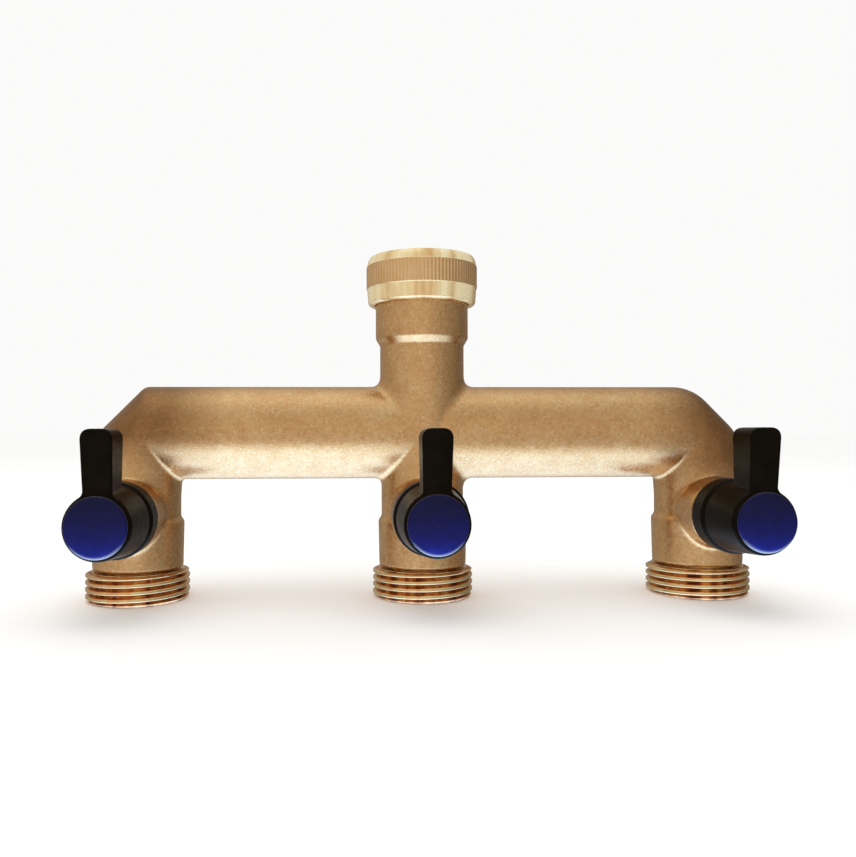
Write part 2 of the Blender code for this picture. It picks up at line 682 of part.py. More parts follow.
def main():
    for obj in list(bpy.data.objects):
        bpy.data.objects.remove(obj, do_unlink=True)
    cast_brass = paint("cast_brass", (0.46, 0.29, 0.13), 0.42, 1.0)
    turned_brass = paint("turned_brass", (0.72, 0.46, 0.20), 0.25, 1.0)
    nut_brass = paint("nut_brass", (0.78, 0.58, 0.30), 0.28, 1.0)
    black_plastic = paint("black_plastic", (0.012, 0.011, 0.010), 0.22, 0.0)
    blue_plastic = paint("blue_plastic", (0.012, 0.016, 0.16), 0.25, 0.0)
    chrome = paint("chrome_ball", (0.80, 0.80, 0.82), 0.08, 1.0)
    ptfe = paint("ptfe", (0.85, 0.85, 0.83), 0.55, 0.0)
    rubber = paint("black_rubber", (0.02, 0.02, 0.02), 0.75, 0.0)
    steel = paint("stainless_steel", (0.62, 0.62, 0.63), 0.30, 1.0)

    make_manifold(cast_brass)
    make_nut(nut_brass)
    make_inlet_parts(rubber, steel)
    for name, x in OUTLETS:
        make_nipple(name, x, turned_brass)
        nipple_seal = (CHAMBER_RADIUS + NIPPLE_GROOVE_RADIUS) / 2
        make_oring(f"nipple_oring_{name}", nipple_seal, 0.45, (x, 0, NIPPLE_ORING_Z), False, rubber)
        make_seat(f"upper_seat_{name}", x, 1, ptfe)
        make_seat(f"lower_seat_{name}", x, -1, ptfe)
        make_ball(name, x, chrome)
        make_stem(name, x, turned_brass)
        make_washer(name, x, ptfe)
        stem_seal = (STEM_BORE_RADIUS + STEM_GROOVE_RADIUS) / 2
        make_oring(f"stem_oring_{name}", stem_seal, 0.45, (x, -STEM_ORING_DEPTH, VALVE_Z), True, rubber)
        make_handle(name, x, black_plastic)
        make_screw(name, x, steel)
        make_cap(name, x, blue_plastic)


main()
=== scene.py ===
"""Looks for the brass hose splitter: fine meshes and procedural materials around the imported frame.

Sizes are in millimetres and turned into metres when a mesh is made. Shapes are drawn about the
plane of the outlets' axes, as in the design, and moved back by the frame's own offset. The casting
and the handles are drawn as distance fields, so that every corner has its cast or moulded fillet.
"""

from math import cos, pi, radians, sin

import bpy
import numpy as np
from mathutils import Matrix, Vector


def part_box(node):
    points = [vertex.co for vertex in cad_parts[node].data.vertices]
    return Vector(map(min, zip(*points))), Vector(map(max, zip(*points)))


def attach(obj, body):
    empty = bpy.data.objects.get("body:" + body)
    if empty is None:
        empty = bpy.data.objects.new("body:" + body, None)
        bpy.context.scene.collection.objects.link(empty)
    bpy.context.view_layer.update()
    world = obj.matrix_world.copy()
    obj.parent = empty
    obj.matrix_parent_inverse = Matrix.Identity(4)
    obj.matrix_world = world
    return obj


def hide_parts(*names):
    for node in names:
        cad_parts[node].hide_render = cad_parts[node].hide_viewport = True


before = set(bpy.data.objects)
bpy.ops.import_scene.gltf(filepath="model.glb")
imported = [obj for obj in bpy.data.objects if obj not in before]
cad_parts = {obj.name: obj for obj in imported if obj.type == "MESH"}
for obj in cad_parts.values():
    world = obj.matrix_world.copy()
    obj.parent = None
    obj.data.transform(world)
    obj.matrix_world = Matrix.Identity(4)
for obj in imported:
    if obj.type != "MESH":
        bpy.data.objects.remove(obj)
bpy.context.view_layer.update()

MM = 0.001
SIDES = ("left", "centre", "right")


def middle(node):
    """The middle of a node's box, in millimetres."""
    low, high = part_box(node)
    return (low + high) / 2 / MM


OUTLET_X = {side: middle(f"outlet_nipple_{side}").x for side in SIDES}
AXIS_Y = middle("outlet_nipple_centre").y
PITCH = OUTLET_X["right"]
VALVE_Z = middle("ball_centre").z

# The casting. Tables of a turned shape are (height, radius), edges and fillets are radii
RUN_Z = 43.4
RUN_HALF_HEIGHT = 12.2
RUN_HALF_DEPTH = 11.0
LEG_RADII = ((26.5, 10.9), (36.4, 11.5))
LEG_DOME = 11.3
COLLAR = ((8.2, 11.5), (20.0, 11.75), (21.3, 10.9))
NECK = ((33.4, 10.9), (53.4, 11.2), (66.5, 11.2), (68.4, 12.35), (90.0, 12.35))
BARREL_BOTTOM = 8.2
BARREL_EDGE = 0.6
SPIGOT_TOP = 80.9
SPIGOT_EDGE = 0.3
RING_Z = 79.2
RING_GROOVE = (11.6, 0.9)  # radius of its floor, half its width
CHAMFER_REACH = 12.2
CHAMFER_DEPTH = 11.9
CHAMFER_MIDDLE = (71.5, 39.9)
CHAMFER_SOFTNESS = {"left": 0.8, "right": 3.4}
ELBOW_FILLET = 1.3
COLUMN_FILLET = {"above": 2.9, "left": 2.0, "right": 3.0}
BOSS_RADIUS = 8.8
BOSS_FACE = 17.5
BOSS_EDGE = 0.9
BOSS_FILLET = 2.0
STOP_RADIUS = 6.6
STOP_HALF_WIDTH = 1.0
STOP_HALF_ANGLE = 18
STOP_END_SLOPE = 6
STOP_MIDDLE = 17
STOP_HALF_DEPTH = 3.2

# The waterways inside it
RUN_BORE_HALF_HEIGHT = 9.4
RUN_BORE_HALF_DEPTH = 8.6
RUN_BORE_END = (3, 8.5)  # how far before the leg's axis, radius
RUN_BORE_CHAMFER = 6.5
CHAMBER_RADIUS = 9.0
CHAMBER_TOP = 30.55
PORT_RADIUS = 5.6
PORT_TOP = 36
STEM_HOLE = 4.2
FLANGE_HOLE = 5.5
FLANGE_DEPTH = 11.7
INLET_RADIUS = 7.8
INLET_FLOOR = 38.4

# The valves, as depths in front of the outlet's axis. Pockets are (radius, floor)
BALL_RADIUS = 8.0
BALL_BORE = 4.8
SKIRT = ((18.0, 9.2), (23.5, 9.2), (24.1, 8.55), (36.9, 7.6))
HUB_BACK = 18.0
HUB_BACK_EDGE = 0.5
HUB_FACE = 36.9
HUB_FACE_EDGE = 0.9
LEVER_BACK = 28.0
LEVER_FOOT = 4
LEVER_REACH = 21.7
LEVER_HALF_WIDTHS = (3.2, 3.6)
LEVER_FACE = 36.2
LEVER_LEAN = 1.8 / 17.7
LEVER_TIP_EDGE = 2.6
LEVER_EDGE = 0.8
LEVER_FILLET = 1.6
CAP_POCKET = (5.7, 30.6)
SCREW_HOLE = 2.1
STEM_SOCKET = (3.2, 4.0, 29.3)  # half width over the flats, radius, floor
STEM_POCKET = (4.2, 18.8)
SLOT_HALF_WIDTH = 1.3
SLOT_FLOOR = 20.6
SLOT_MIDDLE = -45
SLOT_HALF_ANGLE = 65
DEGREES = 57.3  # in a radian
HANDLE_BOX = ((-9.3, -9.3, 17.9), (9.3, 21.8, 38.1))
CAP_RADIUS = 6.95
CAP_BACK = 37.2
CAP_FACE = 38.4

# The outlets' thread
THREAD_PITCH = 1.814
THREAD_CREST = 13.2
THREAD_ROOT = 12.06
THREAD_START = 12.0
THREAD_RISE = 1.25
THREAD_TOP = 7.5

# The nut
NUT_TEETH = 96
KNURL = (81.75, 87.65)
KNURL_RUN_OUT = 0.25
KNURL_CREST = 0.05
KNURL_DEPTH = 0.14
NUT_THREAD = (82.6, 89.9)
NUT_THREAD_RUN_OUT = 0.6

# Cells of the distance fields' meshes, and how often their points are relaxed
CASTING_STEP = 0.5
HANDLE_STEP = 0.3
QUICK_COARSER = 1
RELAX_ROUNDS = 4

# Painted shade on the elbows, which darkens their upper outer parts, in metres: where it starts and
# is full outwards from the middle and up from the floor, and how much further out and lower that is
# on the right
ELBOW_SHADE_OUT = (0.050, 0.066)
ELBOW_SHADE_UP = (0.034, 0.043)
ELBOW_SHADE_RIGHT = {"out": 0.008, "down": 0.007}
ELBOW_SHADE = (0.40, 0.31, 0.26, 1.0)

# The studio: what gloss reflects by the height of a direction, from straight down to straight up,
# and how much of that is lost to the sides, the right, the back and at a second reflection
SKY = ((-1.0, (1.24, 1.70, 2.64)), (-0.62, (1.27, 1.69, 2.34)), (-0.49, (0.86, 0.88, 0.92)),
       (-0.32, (0.49, 0.45, 0.41)), (0.0, (0.60, 0.54, 0.48)), (0.3, (0.58, 0.51, 0.43)),
       (0.6, (0.55, 0.51, 0.46)), (0.88, (0.66, 0.65, 0.62)), (1.0, (0.86, 0.87, 0.86)))
SKY_PEAK = 3.2
SIDE_DIM = -0.38
RIGHT_DIM = -0.20
BACK_DIM = -0.55
SECOND_DIM = -0.3
PALE = (0.96, 0.96, 0.955, 1.0)
FLOOR_PALE = (0.99, 0.99, 0.985, 1.0)
FLOOR_HALF = 6.0
LAMP_PLACE = (-0.12, -0.1, 0.8)
LAMP_TARGET = (0, 0.01, 0.04)
LAMP_SIZE = (0.9, 0.7)
LAMP_POWER = 1.5
LAMP_COLOUR = (1.0, 0.985, 0.96)

# The camera, fitted to the photograph: its place from the centre outlet's axis in millimetres, and
# its turns in degrees
LENS = 34.006
LENS_SHIFT = (0.0496, -0.0126)
CAMERA_PLACE = (-20.84, -216.83, 43.67)
CAMERA_YAW = 2.911
CAMERA_PITCH = 0.976
CAMERA_ROLL = -0.127


# ---------------------------------------------------------------- meshes

def new_piece(name, points, faces, material, body, replaced, sharp=40, painted_light=None,
              mirrored=True):
    """Makes a piece from points in millimetres and lets it ride on a body.

    A value from 0 to 1 may be given at each point, which the material reads to paint light and
    shade:
    painted shade in the threads' grooves and painted highlights on their crests and on the caps'
    lower edges. A piece that isn't mirrored stays out of reflections: the black handles would leave
    smudges in the rough brass.
    """
    mesh = bpy.data.meshes.new(name)
    points = np.asarray(points, np.float32) * MM
    faces = np.asarray(faces, np.int32)
    corners = faces.shape[1]
    mesh.vertices.add(len(points))
    mesh.vertices.foreach_set("co", points.ravel())
    mesh.loops.add(faces.size)
    mesh.loops.foreach_set("vertex_index", faces.ravel())
    mesh.polygons.add(len(faces))
    mesh.polygons.foreach_set("loop_start", np.arange(0, faces.size, corners, dtype=np.int32))
    mesh.update(calc_edges=True)
    mesh.validate()
    mesh.shade_smooth()
    mesh.set_sharp_from_angle(angle=radians(sharp))
    if painted_light is not None:
        layer = mesh.attributes.new("painted_light", "FLOAT", "POINT")
        layer.data.foreach_set("value", painted_light.astype(np.float32))
    mesh.materials.append(material)
    piece = bpy.data.objects.new(name, mesh)
    piece.visible_glossy = mirrored
    bpy.context.scene.collection.objects.link(piece)
    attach(piece, body)
    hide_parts(replaced)


def to_front(points, side):
    """Turns points drawn about Z at the origin to face the front, on a valve's axis."""
    x, y, z = points.T
    return np.stack([x + OUTLET_X[side], AXIS_Y - z, VALVE_Z + y], 1)


def to_outlet(points, side, height=0.0):
    """Moves points drawn about Z at the origin to an outlet's axis."""
    return points + np.array([OUTLET_X[side], AXIS_Y, height])


def to_inlet(points):
    """Moves points drawn about Z at the origin to the inlet's axis."""
    return points + np.array([0.0, AXIS_Y, 0.0])


def grid_faces(rows, columns):
    """Quads over a grid of points whose rows and columns close on themselves."""
    a, b = np.meshgrid(np.arange(rows), np.arange(columns), indexing="ij")
    a2, b2 = (a + 1) % rows, (b + 1) % columns
    quads = np.stack([a * columns + b, a * columns + b2, a2 * columns + b2, a2 * columns + b], -1)
    return quads.reshape(-1, 4)


def rounded(corners, radius, steps=4):
    """A closed (r, z) outline with every corner turned into a small arc.

    A corner may bring its own radius as a third value.
    """
    points = []
    count = len(corners)
    for i in range(count):
        here = np.array(corners[i][:2], float)
        before = np.array(corners[i - 1][:2], float)
        after = np.array(corners[(i + 1) % count][:2], float)
        size = corners[i][2] if len(corners[i]) > 2 else radius
        back, on = before - here, after - here
        reach = min(size, 0.45 * np.linalg.norm(back), 0.45 * np.linalg.norm(on))
        start = here + back / np.linalg.norm(back) * reach
        end = here + on / np.linalg.norm(on) * reach
        for k in range(steps + 1):
            t = k / steps
            points.append((1 - t) ** 2 * start + 2 * t * (1 - t) * here + t * t * end)
    return np.array(points)


def split_long(outline, longest):
    """Adds points along the outline's long stretches."""
    points = []
    for a, b in zip(outline, np.roll(outline, -1, axis=0)):
        parts = max(1, int(np.ceil(np.linalg.norm(b - a) / longest)))
        points += [a + (b - a) * k / parts for k in range(parts)]
    return np.array(points)


def lathe(outline, columns, shift=None):
    """Points of an (r, z) outline turned about Z. shift may change the radii over the surface."""
    angle = 2 * pi * np.arange(columns) / columns
    radius = np.repeat(outline[:, :1], columns, axis=1)
    height = np.repeat(outline[:, 1:], columns, axis=1)
    turn = np.repeat(angle[None, :], len(outline), axis=0)
    if shift:
        radius = radius + shift(radius, height, turn)
    points = np.stack([radius * np.cos(turn), radius * np.sin(turn), height], -1).reshape(-1, 3)
    faces = grid_faces(len(outline), columns)
    r, z = outline.T
    area = np.sum(r * np.roll(z, -1) - np.roll(r, -1) * z)
    return points, faces if area > 0 else faces[:, ::-1]


# ---------------------------------------------------------------- distance fields

def soft_min(a, b, width):
    """Union of two surfaces with a fillet, which closes where they run along each other."""
    (da, na), (db, nb) = a, b
    along = sum(p * q for p, q in zip(na, nb))
    k = np.maximum(width * np.clip(1 - along, 0, 1.3), 1e-4)
    h = np.clip(0.5 + 0.5 * (db - da) / k, 0, 1)
    d = db + (da - db) * h - k * h * (1 - h)
    n = tuple(q + (p - q) * h for p, q in zip(na, nb))
    return d, n


def soft_max(a, b, width):
    """Intersection of two distances with a rounded edge."""
    h = np.clip(0.5 - 0.5 * (b - a) / width, 0, 1)
    return b + (a - b) * h + width * h * (1 - h)


def radius_at(table, height, soften=0.25):
    """A radius that follows (height, radius) points, with the corners softened."""
    heights, radii = zip(*table)
    total = sum(np.interp(height + s * soften, heights, radii) for s in (-1, -0.33, 0.33, 1))
    return total / 4


def upright(x, y, z, centre, table):
    """A turned column about an upright axis."""
    u = x - centre
    r = np.hypot(u, y) + 1e-9
    return r - radius_at(table, z), (u / r, y / r, np.zeros_like(r))


def level_tube(y, z, half_height, half_depth):
    """The oval tube along X."""
    v = z - RUN_Z
    f = (y / half_depth) ** 2 + (v / half_height) ** 2 - 1
    gy, gz = 2 * y / half_depth ** 2, 2 * v / half_height ** 2
    g = np.hypot(gy, gz) + 1e-6
    return f / g, (np.zeros_like(g), gy / g, gz / g)


def past_chamfer(u, z):
    """How far a point lies out from the middle of an elbow's 45° chamfer."""
    return ((u - CHAMFER_MIDDLE[0]) + (z - CHAMFER_MIDDLE[1])) / np.sqrt(2)


def casting_skin(x, y, z):
    """The outside of the casting."""
    u = np.abs(x)
    tube, (_, tube_y, tube_z) = level_tube(y, z, RUN_HALF_HEIGHT, RUN_HALF_DEPTH)
    beyond = np.maximum(u - PITCH, 0)
    end_r = np.hypot(beyond, y) + 1e-9
    end = end_r - LEG_RADII[-1][1]
    closed = end > tube
    tube_n = (np.where(closed, beyond / end_r, 0.0), np.where(closed, y / end_r, tube_y),
              np.where(closed, 0.0, tube_z))
    tube = np.maximum(tube, end)

    leg, leg_n = upright(u, y, z, PITCH, COLLAR + LEG_RADII)
    v = np.maximum(z - RUN_Z, 0)
    r = np.hypot(u - PITCH, y) + 1e-9
    slope_r, slope_v = r / LEG_RADII[-1][1] ** 2, v / LEG_DOME ** 2
    slope = np.hypot(slope_r, slope_v)
    dome = (np.hypot(r / LEG_RADII[-1][1], v / LEG_DOME) - 1) * LEG_RADII[-1][1]
    above = z > RUN_Z
    leg = np.where(above, dome, leg)
    tilt = np.where(above, slope_r / slope, 1.0)
    leg_n = (leg_n[0] * tilt, leg_n[1] * tilt, np.where(above, slope_v / slope, 0.0))
    d, n = soft_min((tube, tube_n), (leg, leg_n), ELBOW_FILLET)
    n = (np.sign(x) * n[0], n[1], n[2])

    chamfer = np.hypot(np.maximum(past_chamfer(u, z), 0) / CHAMFER_REACH, y / CHAMFER_DEPTH) - 1
    softness = np.where(x < 0, CHAMFER_SOFTNESS["left"], CHAMFER_SOFTNESS["right"])
    d = soft_max(d, chamfer * CHAMFER_DEPTH, softness)

    column, column_n = upright(x, y, z, 0.0, COLLAR + NECK)
    column = soft_max(column, z - SPIGOT_TOP, SPIGOT_EDGE)
    below = np.where(x > 0, COLUMN_FILLET["right"], COLUMN_FILLET["left"])
    d, n = soft_min((d, n), (column, column_n), np.where(z > RUN_Z, COLUMN_FILLET["above"], below))

    for side in SIDES:
        a, b = x - OUTLET_X[side], z - VALVE_Z
        r = np.hypot(a, b) + 1e-9
        boss = soft_max(r - BOSS_RADIUS, -y - BOSS_FACE, BOSS_EDGE)
        boss = np.maximum(boss, y)
        d, n = soft_min((d, n), (boss, (a / r, np.zeros_like(r), b / r)), BOSS_FILLET)
    d = soft_max(d, BARREL_BOTTOM - z, BARREL_EDGE)
    groove_floor, groove_half_width = RING_GROOVE
    groove = np.maximum(groove_floor - np.hypot(x, y), np.abs(z - RING_Z) - groove_half_width)
    d = np.maximum(d, -groove)

    for side in SIDES:
        a, b = x - OUTLET_X[side], z - VALVE_Z
        r = np.hypot(a, b)
        turn = np.abs(np.arctan2(a, -b))
        ends = (turn - radians(STOP_HALF_ANGLE)) * STOP_END_SLOPE
        stop = np.maximum(np.abs(r - STOP_RADIUS) - STOP_HALF_WIDTH, ends)
        stop = np.maximum(stop, np.abs(-y - STOP_MIDDLE) - STOP_HALF_DEPTH)
        d = np.minimum(d, stop)
    return d


def waterways(x, y, z):
    """The bores, chambers and stem holes inside the casting."""
    u = np.abs(x)
    run, _ = level_tube(y, z, RUN_BORE_HALF_HEIGHT, RUN_BORE_HALF_DEPTH)
    end_start, end_radius = RUN_BORE_END
    run = np.maximum(run, np.hypot(np.maximum(u - PITCH + end_start, 0), y) - end_radius)
    d = np.maximum(run, past_chamfer(u, z) - RUN_BORE_CHAMFER)
    for side in SIDES:
        a = x - OUTLET_X[side]
        r = np.hypot(a, y)
        d = np.minimum(d, np.maximum(r - CHAMBER_RADIUS, z - CHAMBER_TOP))
        d = np.minimum(d, np.maximum(r - PORT_RADIUS, z - PORT_TOP))
        s = np.hypot(a, z - VALVE_Z)
        d = np.minimum(d, np.maximum(s - STEM_HOLE, y))
        d = np.minimum(d, np.maximum(s - FLANGE_HOLE, np.maximum(y, -y - FLANGE_DEPTH)))
    return np.minimum(d, np.maximum(np.hypot(x, y) - INLET_RADIUS, INLET_FLOOR - z))


def casting_field(p):
    """The casting with its bores taken out."""
    x, y, z = p.T
    return np.maximum(casting_skin(x, y, z), -waterways(x, y, z))


def handle_field(p):
    """One handle about Z, with its lever up along Y and its face at +Z."""
    x, y, z = p.T
    r = np.hypot(x, y) + 1e-9
    hub = r - radius_at(SKIRT, z, 0.15)
    hub = soft_max(hub, HUB_BACK - z, HUB_BACK_EDGE)
    hub = soft_max(hub, z - HUB_FACE, HUB_FACE_EDGE)
    width = np.interp(y, (LEVER_FOOT, LEVER_REACH), LEVER_HALF_WIDTHS)
    lever = soft_max(np.abs(x) - width, y - LEVER_REACH, LEVER_TIP_EDGE)
    lever = np.maximum(lever, -y)
    lever = soft_max(lever, z - (LEVER_FACE + (y - LEVER_FOOT) * LEVER_LEAN), LEVER_EDGE)
    lever = soft_max(lever, LEVER_BACK - z, LEVER_EDGE)
    zero = np.zeros_like(r)
    side = np.sign(x)
    d, _ = soft_min((hub, (x / r, y / r, zero)), (lever, (side, zero, zero)), LEVER_FILLET)
    inside = np.maximum(r - CAP_POCKET[0], CAP_POCKET[1] - z)
    inside = np.minimum(inside, r - SCREW_HOLE)
    half_width, socket_radius, socket_top = STEM_SOCKET
    socket = np.maximum(np.abs(x) - half_width, r - socket_radius)
    inside = np.minimum(inside, np.maximum(socket, z - socket_top))
    inside = np.minimum(inside, np.maximum(r - STEM_POCKET[0], z - STEM_POCKET[1]))
    turn = np.degrees(np.arctan2(y, x))
    off_middle = np.abs((turn - SLOT_MIDDLE + 180) % 360 - 180)
    arc = (off_middle - SLOT_HALF_ANGLE) / DEGREES * STOP_RADIUS
    slot = np.maximum(np.maximum(np.abs(r - STOP_RADIUS) - SLOT_HALF_WIDTH, z - SLOT_FLOOR), arc)
    return np.maximum(d, -np.minimum(inside, slot))


def surface_net(field, low, high, step):
    """Quads over a field's zero surface.

    Each cell that the surface crosses gets one point, relaxed and then set on the surface.
    """
    step = step * QUICK_COARSER
    axes = [np.arange(a - 2 * step, b + 3 * step, step) for a, b in zip(low, high)]
    shape = tuple(len(a) for a in axes)
    value = np.empty(shape, np.float32)
    for i, x in enumerate(axes[0]):
        y, z = np.meshgrid(axes[1], axes[2], indexing="ij")
        p = np.stack([np.full(y.size, x), y.ravel(), z.ravel()], 1)
        value[i] = field(p).reshape(shape[1:])
    inside = value < 0
    total = sum(inside[i:shape[0] - 1 + i, j:shape[1] - 1 + j, k:shape[2] - 1 + k].astype(np.int8)
                for i in (0, 1) for j in (0, 1) for k in (0, 1))
    mixed = (total > 0) & (total < 8)
    index = np.full(mixed.shape, -1, np.int64)
    index[mixed] = np.arange(mixed.sum())
    cells = np.argwhere(mixed)
    points = np.stack([axes[a][cells[:, a]] + step / 2 for a in range(3)], 1)
    quads = []
    for a in range(3):
        b, c = (a + 1) % 3, (a + 2) % 3
        first = [slice(1, -1)] * 3
        first[a] = slice(0, -1)
        second = list(first)
        second[a] = slice(1, None)
        here, there = inside[tuple(first)], inside[tuple(second)]
        for sign in (True, False):
            edge = np.argwhere((here == sign) & (there != sign))
            for k in range(3):
                edge[:, k] += 0 if k == a else 1
            ring = []
            for sb, sc in ((-1, -1), (0, -1), (0, 0), (-1, 0)):
                cell = edge.copy()
                cell[:, b] += sb
                cell[:, c] += sc
                ring.append(index[cell[:, 0], cell[:, 1], cell[:, 2]])
            ring = np.stack(ring, 1)
            quads.append(ring if sign else ring[:, ::-1])
    quads = np.concatenate(quads)
    ends = np.concatenate([quads[:, [0, 1]], quads[:, [1, 2]], quads[:, [2, 3]], quads[:, [3, 0]]])
    count = np.bincount(ends[:, 0], minlength=len(points))[:, None]
    for turn in range(RELAX_ROUNDS):
        if turn:
            near = points[ends[:, 1]]
            sums = np.stack([np.bincount(ends[:, 0], near[:, k], len(points)) for k in range(3)], 1)
            points = points + 0.5 * (sums / np.maximum(count, 1) - points)
        for _ in range(2):
            points = set_on_surface(field, points, step)
    return points, quads


def set_on_surface(field, points, step):
    """One Newton step towards the field's zero surface, at most half a cell long."""
    delta = 0.05
    value = field(points)
    slope = np.empty_like(points)
    for k in range(3):
        shift = np.zeros(3)
        shift[k] = delta
        slope[:, k] = (field(points + shift) - field(points - shift)) / (2 * delta)
    move = slope * (value / np.maximum((slope ** 2).sum(1), 0.2))[:, None]
    size = np.linalg.norm(move, axis=1, keepdims=True)
    return points - move * np.minimum(1, 0.5 * step / np.maximum(size, 1e-9))


# ---------------------------------------------------------------- materials

class Tree:
    """A short way to wire the nodes of a material or a world."""

    def __init__(self, owner):
        owner.use_nodes = True
        self.nodes = owner.node_tree.nodes
        self.links = owner.node_tree.links

    def feed(self, socket, value):
        """Links an output to an input, or sets the input's value."""
        if isinstance(value, bpy.types.NodeSocket):
            self.links.new(value, socket)
        else:
            socket.default_value = value

    def coordinates(self, output):
        """One of the Texture Coordinate node's outputs."""
        return self.nodes.new("ShaderNodeTexCoord").outputs[output]

    def split(self, vector):
        """The X, Y and Z of a vector."""
        node = self.nodes.new("ShaderNodeSeparateXYZ")
        self.links.new(vector, node.inputs[0])
        return node.outputs

    def math(self, operation, *values):
        """The result of a Math node."""
        node = self.nodes.new("ShaderNodeMath")
        node.operation = operation
        for socket, value in zip(node.inputs, values):
            self.feed(socket, value)
        return node.outputs[0]

    def ramp(self, value, stops):
        """A colour that follows a value through (position, colour) stops."""
        node = self.nodes.new("ShaderNodeValToRGB")
        elements = node.color_ramp.elements
        while len(elements) < len(stops):
            elements.new(0.5)
        for element, (position, colour) in zip(elements, stops):
            element.position = position
            element.color = (*colour, 1.0)
        self.feed(node.inputs["Fac"], value)
        return node.outputs["Color"]

    def mix_shaders(self, output, factor, first, second):
        """Mixes two shader nodes into an output node's surface."""
        node = self.nodes.new("ShaderNodeMixShader")
        for socket, value in zip(node.inputs, (factor, first.outputs[0], second.outputs[0])):
            self.feed(socket, value)
        self.links.new(node.outputs[0], self.nodes[output].inputs["Surface"])


class Skin(Tree):
    """A piece's material. Sizes of its patterns are in millimetres."""

    def __init__(self, name):
        self.material = bpy.data.materials.new(name)
        super().__init__(self.material)
        self.shader = self.nodes["Principled BSDF"]
        self.place = self.coordinates("Object")

    def noise(self, size, detail=2.0, roughness=0.5, stretch=(1, 1, 1)):
        """Noise whose largest grain is about size millimetres, or size / stretch along an axis."""
        mapping = self.nodes.new("ShaderNodeMapping")
        mapping.inputs["Scale"].default_value = [s / (size * MM) for s in stretch]
        self.links.new(self.place, mapping.inputs["Vector"])
        node = self.nodes.new("ShaderNodeTexNoise")
        node.inputs["Scale"].default_value = 1.0
        node.inputs["Detail"].default_value = detail
        node.inputs["Roughness"].default_value = roughness
        self.links.new(mapping.outputs[0], node.inputs["Vector"])
        return node.outputs["Fac"]

    def wander(self, size, low, high):
        """A value that wanders between low and high, in patches of about size millimetres."""
        return self.span(self.noise(size, 3, 0.6), 0.3, 0.7, low, high)

    def attribute(self, name):
        """A value stored at the mesh's points."""
        node = self.nodes.new("ShaderNodeAttribute")
        node.attribute_name = name
        return node.outputs["Fac"]

    def span(self, value, low, high, to_low, to_high):
        """Maps low to high onto another range, and holds the value there."""
        node = self.nodes.new("ShaderNodeMapRange")
        ends = zip(("From Min", "From Max", "To Min", "To Max"), (low, high, to_low, to_high))
        for name, end in ends:
            node.inputs[name].default_value = end
        self.feed(node.inputs["Value"], value)
        return node.outputs["Result"]

    def mix(self, factor, a, b, blend="MIX"):
        """Mixes two colours, which are the Mix node's inputs 6 and 7, into its output 2."""
        node = self.nodes.new("ShaderNodeMix")
        node.data_type = "RGBA"
        node.blend_type = blend
        for index, value in (("Factor", factor), (6, a), (7, b)):
            self.feed(node.inputs[index], value)
        return node.outputs[2]

    def bump(self, height, distance, strength, below=None):
        """A bumped normal, on top of another one where below is given."""
        node = self.nodes.new("ShaderNodeBump")
        node.inputs["Distance"].default_value = distance * MM
        node.inputs["Strength"].default_value = strength
        self.feed(node.inputs["Height"], height)
        if below is not None:
            self.links.new(below, node.inputs["Normal"])
        return node.outputs["Normal"]

    def tool_marks(self):
        """The fine rings that a turning tool leaves."""
        return self.bump(self.noise(0.12, 1, 0.4, stretch=(0.02, 0.02, 1)), 0.006, 0.5)

    def finish(self, **sockets):
        """Feeds the shader's sockets and hands over the material."""
        for name, value in sockets.items():
            self.feed(self.shader.inputs[name.replace("_", " ")], value)
        return self.material

    def finish_moulded(self, rough, **sockets):
        """Finishes a moulded plastic, with a faint orange peel and handling marks."""
        peel = self.bump(self.noise(0.9, 2, 0.5), 0.010, 0.5)
        marks = self.span(self.noise(1.8, 4, 0.65), 0.35, 0.75, rough, rough + 0.12)
        return self.finish(Roughness=marks, Normal=peel, **sockets)


